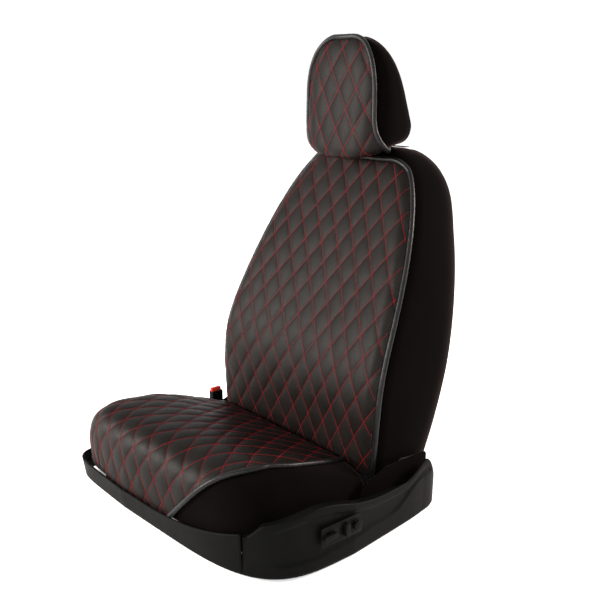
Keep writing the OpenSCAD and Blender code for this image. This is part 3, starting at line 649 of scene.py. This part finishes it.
class Patch:
    """A sampled surface, on which a point is found from its arc lengths across a row and up the
    middle column."""

    def __init__(self, rows, middle, corner=0.0):
        self.corner = corner
        self.points = np.array([to_metres(r) for r in rows])
        steps = np.linalg.norm(np.diff(self.points, axis=1), axis=2)
        across = np.concatenate([np.zeros((len(rows), 1)), np.cumsum(steps, axis=1)], axis=1)
        self.across = across - across[:, middle:middle + 1]
        up = np.linalg.norm(np.diff(self.points[:, middle], axis=0), axis=1)
        self.up = np.concatenate([[0], np.cumsum(up)])
        self.height = float(self.up[-1])

    def row(self, t):
        place = float(np.interp(t, self.up, np.arange(len(self.up))))
        k = min(int(place), len(self.up) - 2)
        part = place - k
        curve = (1 - part) * self.points[k] + part * self.points[k + 1]
        reach = (1 - part) * self.across[k] + part * self.across[k + 1]
        return curve, reach

    def at(self, s, t):
        """Points at arc lengths s, an array, on the row at height t."""
        curve, reach = self.row(t)
        return np.stack([np.interp(s, reach, curve[:, k]) for k in range(3)], axis=-1)

    def limits(self, t):
        reach = self.row(t)[1]
        return float(reach[0]), float(reach[-1])

    def holds(self, s, t, margin=0.0):
        """Whether a place, or each of an array of s, is inside the edge and its upper corners."""
        lo, hi = self.limits(min(max(t, 0), self.height))
        r = self.corner
        down = max(0, t + margin - (self.height - r))
        reach = r - math.sqrt(max(0, r * r - down * down)) if r else 0
        within = (s > lo + reach + margin) & (s < hi - reach - margin)
        return within & (0 < t < self.height - margin)

    def frame_at(self, s, t):
        """Point and outward normal."""
        d = 0.003
        spread = self.at(np.array([s - d, s, s + d]), t)
        above = self.at(np.array([s]), min(t + d, self.height))[0]
        below = self.at(np.array([s]), max(t - d, 0))[0]
        return spread[1], unit(np.cross(spread[2] - spread[0], above - below))


def lattice(s, t, shift):
    """How far the two families of stitch lines are, in cells: whole numbers are on a line."""
    u = (s - shift[0]) / DIAMOND_W
    v = (t - shift[1]) / DIAMOND_H
    return u + v + 0.5, u - v + 0.5


def lattice_values(patch, shift):
    """Grid positions that put a vertex row on every stitch line."""
    lo = float(patch.across.min())
    hi = float(patch.across.max())
    ds, dt = DIAMOND_W / CELLS, DIAMOND_H / CELLS
    s_steps = np.arange(math.floor((lo - shift[0]) / ds), math.ceil((hi - shift[0]) / ds) + 1)
    t_steps = np.arange(math.floor(-shift[1] / dt), math.ceil((patch.height - shift[1]) / dt) + 1)
    return shift[0] + ds * s_steps, shift[1] + dt * t_steps


def quilt_surface(name, patch, shift, bulge):
    """The quilted face: pillows between stitch lines, puffed up by a cloth simulation."""
    s, t = lattice_values(patch, shift)
    inside = np.zeros((len(t), len(s)), bool)
    base = np.zeros((len(t), len(s), 3))
    for j, height in enumerate(t):
        level = min(max(height, 0), patch.height)
        inside[j] = patch.holds(s, height)
        base[j] = patch.at(s, level)
    normal = np.cross(np.gradient(base, axis=1), np.gradient(base, axis=0))
    length = np.linalg.norm(normal, axis=2)
    for j in range(len(t)):
        good = np.where(length[j] > 1e-9)[0]
        if len(good) == 0:
            continue
        nearest = good[np.abs(np.arange(len(s))[:, None] - good[None, :]).argmin(axis=1)]
        normal[j] = normal[j][nearest]
    normal = unit(normal)
    u, v = lattice(s[None, :], t[:, None], shift)
    puff = np.abs(np.sin(math.pi * u) * np.sin(math.pi * v)) * inside
    on_line = (puff < PINNED_BELOW) | ~inside
    lift = GROOVE_LIFT + bulge * PILLOW * puff ** PUFF_POWER
    points = base + normal * lift[..., None]
    keep = {}
    faces = []
    for corners in grid_faces(len(t), len(s)):
        if any(inside.flat[k] for k in corners):
            faces.append(tuple(keep.setdefault(k, len(keep)) for k in corners))
    index = np.array(list(keep))
    flat = points.reshape(-1, 3)[index]
    obj = mesh_object(name, flat, faces, QUILT)
    return obj, flat, normal.reshape(-1, 3)[index], on_line.reshape(-1)[index]


CLOTH_PRESSURE = 5.0
CLOTH_FRAMES = 20
CLOTH_MOST = 0.0040
CLOTH_SLIP = 0.0016


def inflate(obj, start, normal, pinned):
    """Blows the pillows up between their stitch lines, then keeps each point near its place."""
    group = obj.vertex_groups.new(name="stitched")
    group.add([int(k) for k in np.where(pinned)[0]], 1.0, "REPLACE")
    cloth = obj.modifiers.new("cloth", "CLOTH")
    settings = cloth.settings
    settings.vertex_group_mass = "stitched"
    settings.quality = 5
    settings.mass = 0.12
    settings.tension_stiffness = 12
    settings.compression_stiffness = 12
    settings.shear_stiffness = 6
    settings.bending_stiffness = 0.25
    settings.shrink_min = -0.07
    settings.use_pressure = True
    settings.uniform_pressure_force = CLOTH_PRESSURE
    settings.effector_weights.gravity = 0
    cloth.collision_settings.use_collision = False
    cloth.point_cache.frame_start = 1
    cloth.point_cache.frame_end = CLOTH_FRAMES
    for step in range(1, CLOTH_FRAMES + 1):
        SCENE.frame_set(step)
    graph = bpy.context.evaluated_depsgraph_get()
    mesh = obj.evaluated_get(graph).data
    result = np.zeros(len(mesh.vertices) * 3)
    mesh.vertices.foreach_get("co", result)
    moved = result.reshape(-1, 3) - start
    out = np.sum(moved * normal, axis=1, keepdims=True)
    slip = moved - out * normal
    far = np.linalg.norm(slip, axis=1, keepdims=True)
    slip = slip * np.minimum(1, CLOTH_SLIP / np.maximum(far, 1e-9))
    out = CLOTH_MOST * np.tanh(np.maximum(out, -0.001) / CLOTH_MOST)
    obj.modifiers.clear()
    obj.data.vertices.foreach_set("co", (start + out * normal + slip).ravel())
    SCENE.frame_set(1)


def stitch_lines(patch, shift):
    """Each stitch's middle and family, along both families of quilting lines."""
    per_cell = STITCH_PITCH / CELL_DIAGONAL
    lo, hi = float(patch.across.min()), float(patch.across.max())
    reach = int(max(hi - lo, patch.height) / DIAMOND_W) + 6
    for family in (1, -1):
        for line in range(-reach, reach):
            for k in range(-reach * 20, reach * 20):
                w = k * per_cell
                s = shift[0] + DIAMOND_W * (line - 0.5 + w)
                t = shift[1] - family * DIAMOND_H * w
                if t > QUILT_INSET / 2 and patch.holds(s, t, QUILT_INSET):
                    yield s, t, family


def quilt_thread(name, patch, shift, body):
    points, faces = [], []
    half = STITCH_LENGTH / 2 / CELL_DIAGONAL
    for s, t, family in stitch_lines(patch, shift):
        ds, dt = DIAMOND_W * half, -family * DIAMOND_H * half
        out = patch.frame_at(s, t)[1]
        start = patch.at(np.array([s - ds]), t - dt)[0] + out * GROOVE_LIFT
        end = patch.at(np.array([s + ds]), t + dt)[0] + out * GROOVE_LIFT
        add_stitch(points, faces, start, end, out, STITCH_R)
    finish_piece(mesh_object(name, points, faces, RED_THREAD), body)


WELD = 0.00002
BACKING = 0.0007
START_BULGE = 0.55


def quilted_cover(name, patch, shift, body, node):
    bulge = START_BULGE
    cover, start, normal, pinned = quilt_surface(name, patch, shift, bulge)
    inflate(cover, start, normal, pinned)
    with edited(cover.data) as edit:
        bmesh.ops.remove_doubles(edit, verts=edit.verts, dist=WELD)
        bmesh.ops.dissolve_degenerate(edit, edges=edit.edges, dist=WELD)
    thick = cover.modifiers.new("backing", "SOLIDIFY")
    thick.thickness = BACKING
    thick.offset = -1
    apply_modifiers(cover)
    subdivide(cover)
    shade_smooth(cover.data)
    finish_piece(cover, body, node)
    quilt_thread(name + "_thread", patch, shift, body)


PIPING_R = 0.0049
PIPING_LIFT = 0.0043
PIPING_STEP = 0.0035
PIPING_WRINKLE = 0.00045
LEFT_START = 66
SIDE_STEPS = 160
CORNER_STEPS = 16
TOP_STEPS = 60


def side_run(patch, side):
    """(s, t) pairs up one side and round its upper corner; side is 0 for left and 1 for right."""
    r, top = patch.corner, patch.height
    inwards = (r, -r)[side]
    run = [(patch.limits(t)[side], t) for t in np.linspace(0, top - r, SIDE_STEPS)[:-1]]
    for a in np.linspace(0, QUARTER, CORNER_STEPS):
        t = top - r + r * math.sin(a)
        run.append((patch.limits(t)[side] + inwards - inwards * math.cos(a), t))
    return run


def edge_path(patch, sides):
    """Path of the piping along the cover's left or right side, or up the right, over the top and
    down the left."""
    grid = patch.points
    normal = unit(np.cross(np.gradient(grid, axis=1), np.gradient(grid, axis=0)))
    grid = grid + normal * PIPING_LIFT
    if sides == "left":
        return grid[LEFT_START:, 0]
    if sides == "right":
        return grid[:, -1]
    left, right = side_run(patch, 0), side_run(patch, 1)
    along = [(s, patch.height) for s in np.linspace(right[-1][0], left[-1][0], TOP_STEPS)[1:-1]]
    points = []
    for s, t in right + along + left[::-1]:
        middle, out = patch.frame_at(s, t)
        points.append(middle + out * PIPING_LIFT)
    return np.array(points)


def piped_edge(name, patch, sides, body, node):
    path = even_path(edge_path(patch, sides), PIPING_STEP)
    piping = tube(name, path, PIPING_R, BINDING, 12, PIPING_WRINKLE)
    finish_piece(piping, body, node)


BINDING_PITCH = 0.0042
BINDING_STITCH = 0.003
BINDING_LIFT = 0.0032
BINDING_R = 0.0005
BINDING_INSET = 0.007


def binding_stitches(name, patch, body):
    """Black stitches beside the piping, along the cover's sides."""
    points, faces = [], []
    count = int(patch.height / BINDING_PITCH)
    for k in range(1, count):
        t = patch.height * k / count
        lo, hi = patch.limits(t)
        for s in (lo + BINDING_INSET, hi - BINDING_INSET):
            start, out = patch.frame_at(s, t)
            end = patch.frame_at(s, min(patch.height, t + BINDING_STITCH))[0]
            if np.linalg.norm(end - start) > BINDING_STITCH / 3:
                lift = out * BINDING_LIFT
                add_stitch(points, faces, start + lift, end + lift, out, BINDING_R)
    finish_piece(mesh_object(name, points, faces, BLACK_THREAD), body)


BACK_CORNER = 0.028
HEAD_CORNER = 0.012
LEFT_WRAP, RIGHT_WRAP = 0.75, 0.5
PANEL_ROW_POWER = 1.3


def backrest_patch():
    rows = []
    for k in range(261):
        z = BACK_LOW + (BACK_PANEL_TOP - BACK_LOW) * (1 - (1 - k / 260) ** PANEL_ROW_POWER)
        left, right = back_panel_edge(z, LEFT_WRAP), back_panel_edge(z, RIGHT_WRAP)
        row = [back_front_point(z, -left * k / 100) for k in range(100, 0, -1)]
        rows.append(row + [back_front_point(z, right * k / 90) for k in range(91)])
    return Patch(rows, 100, BACK_CORNER)


def headrest_patch():
    rows = []
    for k in range(181):
        level = head_level(1 + 16 * k / 180)
        left = [head_point(level, a) for a in np.linspace(-QUARTER, HEAD_EDGE_LEFT, 71)]
        right = [head_point(level, a) for a in np.linspace(-QUARTER, head_edge_right(level), 61)]
        rows.append([(-x, y, z) for x, y, z in left[:0:-1]] + right)
    return Patch(rows, 70, HEAD_CORNER)


HEM_DEPTH = 13
HEM_TUCK = 3
SIDE_BULGE = 9
BULGE_Z, BULGE_H = 60, 84
BULGE_X, BULGE_FADE_X = 190, 70
BULGE_Y, BULGE_FADE_Y = -60, 80


def side_bulge(x, y, z):
    """How far the cover swells out over the plastic cover on the buckle side, near the front."""
    rise = min(1, max(0, (z - BULGE_Z) / BULGE_H))
    swell = SIDE_BULGE * math.sin(math.pi * rise) * smooth_step((-x - BULGE_X) / BULGE_FADE_X)
    return swell * smooth_step((BULGE_Y - y) / BULGE_FADE_Y)


def cushion_patch():
    rows = []
    for c, q in [(0, -0.0001)] + cushion_levels(70, 150):
        left = cushion_wall_x(True, c, q)
        right = cover_edge_x(c, q)
        xs = [left * math.sin(QUARTER * (1 - k / 110)) for k in range(110)]
        xs += [right * k / 80 for k in range(81)]
        row = [cushion_point(x, c, max(q, 0)) for x in xs]
        if q < 0:
            tuck = 1 - HEM_TUCK / LEFT["w"]
            row = [(x * tuck, y + HEM_TUCK, z - HEM_DEPTH) for x, y, z in row]
        rows.append([(x - side_bulge(x, y, z), y, z) for x, y, z in row])
    return Patch(rows, 110)


# ---- Seat trim ----


SEAM_TOP_GAP = 6
SEAM_ARC_POINT = 9
CUSHION_SKIN = 12
CUSHION_RIM_Z = 38.5
CUSHION_INNER_Z = 60


def lofted_trim(name, rings, body, node):
    """A closed padded body through level rings, with its ends filled."""
    points = [p for ring in rings for p in to_metres(ring)]
    faces = grid_faces(len(rings), len(rings[0]), wrap=True)
    obj = mesh_object(name, points, faces, SEAT_FABRIC)
    with edited(obj.data) as edit:
        bmesh.ops.holes_fill(edit, edges=edit.edges)
        bmesh.ops.recalc_face_normals(edit, faces=edit.faces)
    shade_smooth(obj.data)
    finish_piece(obj, body, node)


def seam_welt(name, seam, step, radius, body):
    """A welt along a seam on the right, over the top, and down the same seam on the left."""
    path = even_path(to_metres(mirror_ring(seam)), step)
    welt = tube(name, path, radius, SEAT_FABRIC, 8, 0.0002)
    finish_piece(welt, body)


def backrest_trim():
    rings = [back_ring(back_row_z(k / 100)) for k in range(101)]
    lofted_trim("seat_backrest", rings, "backrest", "backrest_trim")
    top = BACK_TOP - SEAM_TOP_GAP
    seam = [back_rear_half(back_row_z(k / 96, top))[SEAM_ARC_POINT] for k in range(97)]
    seam_welt("backrest_rear_seam", seam, 0.005, 0.0016, "backrest")


def headrest_trim():
    rings = []
    turns = [math.radians(-90 + 180 * (n + 0.5) / 48) for n in range(48)]
    for k in range(73):
        level = head_level(HEAD_ROWS * k / 72)
        rings.append(mirror_ring([head_point(level, a) for a in turns]))
    lofted_trim("seat_headrest", rings, "headrest", "headrest_trim")
    seam = [head_point(head_level(1.2 + 16 * k / 80), HEAD_SEAM_TURN) for k in range(81)]
    seam_welt("headrest_seam", seam, 0.004, 0.0014, "headrest")


def cushion_trim():
    rows = []
    for c, q in cushion_levels(36, 70):
        left, right = cushion_wall_x(True, c, q), cushion_wall_x(False, c, q)
        xs = [left * math.sin(QUARTER * (1 - k / 44)) for k in range(44)]
        xs += [right * math.sin(QUARTER * k / 60) for k in range(61)]
        rows.append([cushion_point(x, c, q) for x in xs])
    cols = len(rows[0])
    outer = [p for row in rows for p in to_metres(row)]
    narrow = 1 - CUSHION_SKIN / LEFT["w"]
    short = 1 - CUSHION_SKIN / (CUSHION_REAR - CUSHION_FRONT)
    inner = []
    for j, row in enumerate(rows):
        for i, (x, y, _) in enumerate(row):
            if j == 0 or i in (0, cols - 1):
                inner.append((x, y, CUSHION_RIM_Z))
            else:
                depth = CUSHION_REAR - (CUSHION_REAR - y) * short
                inner.append((x * narrow, depth, CUSHION_INNER_Z))
    points = outer + list(to_metres(inner))
    size = len(outer)
    skin = grid_faces(len(rows), cols)
    back = [tuple(size + k for k in reversed(f)) for f in skin]
    border = [(i, i + 1, size + i + 1, size + i)[::-1] for i in range(cols - 1)]
    top = (len(rows) - 1) * cols
    border += [(top + i, top + i + 1, size + top + i + 1, size + top + i) for i in range(cols - 1)]
    for j in range(len(rows) - 1):
        a, b = j * cols, (j + 1) * cols
        border.append((a, b, size + b, size + a))
        a, b = a + cols - 1, b + cols - 1
        border.append((b, a, size + a, size + b))
    cushion = mesh_object("seat_cushion", points, skin + back + border, SEAT_FABRIC)
    face_outwards(cushion.data)
    finish_piece(cushion, "seat_base", "cushion_trim")


# ---- Plastic covers of the base ----

BASE_SEAM = 0.06
BASE_LEFT_W, BASE_LEFT_POWER = 305, 12
BASE_RIGHT_W, BASE_RIGHT_POWER = 303, 4
BASE_FRONT_L, BASE_REAR_L, BASE_REAR_POWER = 227, 275, 8
BASE_MIDDLE_Y = -60
BASE_TAPER, BASE_TAPER_L = 0.07, 200
BASE_SKEW = 0.063


def plan_point(a, w, front_n):
    """Point of the base's outline at angle a in degrees, on the side where X is above 0."""
    n, length = (front_n, BASE_FRONT_L) if a < 0 else (BASE_REAR_POWER, BASE_REAR_L)
    c, s = math.cos(math.radians(a)), math.sin(math.radians(a))
    r = ((abs(c) / w) ** n + (abs(s) / length) ** n) ** (-1 / n)
    x, y = r * c, BASE_MIDDLE_Y + r * s
    return x * (1 - BASE_TAPER * min(1, max(0, y - BASE_MIDDLE_Y) / BASE_TAPER_L)), y


def plan(a):
    """The outline all round: a is 0 at the switch side; beyond 90 degrees is the buckle side."""
    if abs(a) > 90:
        x, y = plan_point(math.copysign(180, a) - a, BASE_LEFT_W, BASE_LEFT_POWER)
        x = -x
    else:
        x, y = plan_point(a, BASE_RIGHT_W, BASE_RIGHT_POWER)
    return np.array([x, y + skew(x, y, BASE_SKEW), 0])


def plan_out(a):
    t = unit(plan(a + 0.5) - plan(a - 0.5))
    return np.array([t[1], -t[0], 0])


def outboard_top(y):
    """Height of the switch-side cover: a hump, then a rise to the rear, with both ends dropping."""
    hump = 34 * math.exp(-(((y + 142) / 95) ** 2))
    rise = 24 * smooth_step((y - 80) / 80)
    front_drop = 20 * smooth_step((-226 - y) / 20)
    rear_drop = 70 * smooth_step((y - 150) / 60)
    return 82 + hump + rise - front_drop - rear_drop


def inboard_top(y):
    """Height of the buckle-side cover, which rises to the recliner and then drops."""
    return 62 + 34 * smooth_step((y - 40) / 110) - 60 * smooth_step((y - 165) / 48)


def side_lip(y):
    """Width of the side covers' turned-in top edge."""
    return 16 - 11 * smooth_step((y - 30) / 60)


def front_top(x):
    """Height of the front cover, which climbs towards the switch side."""
    return 40.5 + 29.5 * max(0, (x + 20) / 220) ** 2


FRONT_LIP, FRONT_LEAN, SIDE_LEAN = 5, 6, 1
FOOT_R, FOOT_DEPTH = 2.5, 1.2
EDGE_STEPS = 5
EDGE_R = 2.6
WALL = 3
SIDE_ROWS = 30
RECESS = 2.8
RIM = 13


def lower_rim(y):
    """Height of the side cover's raised lower band, which climbs to the top band at the rear."""
    return 22 + 12 * smooth_step((y + 190) / 200) + 40 * smooth_step((y - 40) / 100)


def panel_recess(y, z, top):
    """How far the side cover's panel is sunk between its two raised bands."""
    above = smooth_step((top - RIM - z) / 4)
    below = smooth_step((z - lower_rim(y)) / 4)
    ahead = smooth_step((y + 225) / 25)
    return RECESS * above * below * ahead


def cover_section(a, top, lip, lean, recessed=False):
    """The cover's closed section at angle a, as points of the base's outline moved out and up."""
    p, n = plan(a), plan_out(a)
    section = []
    for k in range(SIDE_ROWS):
        z = (top - EDGE_R) * k / (SIDE_ROWS - 1)
        sunk = panel_recess(p[1], z, top) if recessed else 0
        foot = FOOT_DEPTH * max(0, 1 - z / FOOT_R) ** 2
        section.append((lean * z / top - sunk - foot, z))
    for k in range(1, EDGE_STEPS + 1):
        turn = QUARTER * k / EDGE_STEPS
        across, up = EDGE_R * math.cos(turn), EDGE_R * math.sin(turn)
        section.append((lean - EDGE_R + across, top - EDGE_R + up))
    section += [
        (lean - lip * 0.5, top), (lean - lip + 1, top), (lean - lip, top - 1),
        (lean - lip, top - WALL), (lean - WALL, top - WALL),
        (lean * 0.5 - WALL - RECESS * recessed, top * 0.5), (-WALL, 0),
    ]
    return [p + n * q + np.array([0, 0, z]) for q, z in section]


def front_section(a, x, y):
    return cover_section(a, front_top(x), FRONT_LIP, FRONT_LEAN)


def outboard_section(a, x, y):
    return cover_section(a, outboard_top(y), side_lip(y), SIDE_LEAN, recessed=True)


def inboard_section(a, x, y):
    return cover_section(a, inboard_top(y), side_lip(y), SIDE_LEAN)


def cover_wall(name, a0, a1, steps, section, node):
    """One plastic cover, from angle a0 to a1 of the base's outline."""
    rings = []
    for k in range(steps + 1):
        a = a0 + BASE_SEAM + (a1 - a0 - 2 * BASE_SEAM) * k / steps
        rings.append(section(a, *plan(a)[:2]))
    count = len(rings[0])
    points = [p for ring in rings for p in to_metres(ring)]
    faces = grid_faces(len(rings), count, wrap=True)
    faces.append(tuple(range(count)))
    faces.append(tuple(range((len(rings) - 1) * count, len(rings) * count))[::-1])
    wall = mesh_object(name, points, faces, PLASTIC)
    face_outwards(wall.data)
    finish_piece(wall, "seat_base", node)


def base_covers():
    cover_wall("base_front", -150, -42, 150, front_section, "front_cover")
    cover_wall("base_outboard", -42, 48, 200, outboard_section, "outboard_cover")
    cover_wall("base_inboard", 132, 210, 120, inboard_section, "inboard_cover")


# ---- Small parts: the CAD shape with softened edges ----


def softened(node, name, material, body, width):
    """A copy of a CAD node with rounded edges."""
    source = frame["nodes"][node]
    mesh = source.data.copy()
    mesh.name = name
    mesh.materials.clear()
    mesh.materials.append(material)
    obj = bpy.data.objects.new(name, mesh)
    SCENE.collection.objects.link(obj)
    with edited(mesh) as edit:
        bmesh.ops.remove_doubles(edit, verts=edit.verts, dist=0.00001)
        bmesh.ops.dissolve_limit(
            edit, angle_limit=math.radians(1), verts=edit.verts, edges=edit.edges)
    bevel(obj, width)
    finish_piece(obj, body, node)


# Node, material, body, slot and the width of its rounded edges
SMALL_PARTS = (
    ("recliner_shield_left", SEAT_FABRIC, "seat_base", "seat_fabric", 0.001),
    ("recliner_shield_right", SEAT_FABRIC, "seat_base", "seat_fabric", 0.001),
    ("switch_bezel", SWITCH_PLASTIC, "seat_base", "plastic", 0.0008),
    ("switch_slide", SWITCH_PLASTIC, "slide_switch", "plastic", 0.0014),
    ("switch_recline", SWITCH_PLASTIC, "recline_switch", "plastic", 0.0014),
    ("switch_lumbar", SWITCH_PLASTIC, "lumbar_switch", "plastic", 0.0014),
    ("buckle_housing", BUCKLE_PLASTIC, "buckle", "plastic", 0.0008),
    ("buckle_button", BUTTON_RED, "buckle_release", "release_button", 0.0009),
    ("cover_post_buckle", SWITCH_PLASTIC, "backrest", "plastic", 0.0006),
    ("headrest_lock_button", SWITCH_PLASTIC, "headrest_lock", "plastic", 0.0004),
)
STEEL_NODES = (
    "recline_rod", "slide_shaft", "upper_rail_left", "upper_rail_right",
    "headrest_post_left", "headrest_post_right", "buckle_anchor_bolt",
)
WEBBING_NODES = ("cover_post_strap", "cover_strap_left", "cover_strap_right", "buckle_stalk")


def finish_hardware():
    for node, material, body, slot, width in SMALL_PARTS:
        softened(node, "soft_" + node, material, body, width)
    slots = {part["node"]: part["material_slot"] for part in frame["record"]["subparts"]}
    for node, obj in frame["nodes"].items():
        if node in STEEL_NODES:
            material = STEEL
        elif node in WEBBING_NODES:
            material = WEBBING
        elif slots[node] == "frame_steel":
            material = FRAME_STEEL
        else:
            material = PLASTIC
        for place in obj.material_slots:
            place.material = material


make_camera()
make_studio()
backrest, headrest, cushion = backrest_patch(), headrest_patch(), cushion_patch()
backrest_trim()
headrest_trim()
cushion_trim()
quilted_cover("cover_backrest", backrest, (0.0, 0.030), "backrest", "cover_backrest_panel")
quilted_cover("cover_headrest", headrest, (0.0, 0.020), "headrest", "cover_headrest_panel")
quilted_cover("cover_cushion", cushion, (0.0, 0.030), "seat_base", "cover_cushion_panel")
piped_edge("piping_backrest", backrest, "all", "backrest", "cover_backrest_piping")
piped_edge("piping_headrest", headrest, "all", "headrest", "cover_headrest_piping")
piped_edge("piping_cushion_left", cushion, "left", "seat_base", "cover_cushion_piping_left")
piped_edge("piping_cushion_right", cushion, "right", "seat_base", "cover_cushion_piping_right")
binding_stitches("stitches_backrest", backrest, "backrest")
binding_stitches("stitches_headrest", headrest, "headrest")
binding_stitches("stitches_cushion", cushion, "seat_base")
base_covers()
finish_hardware()
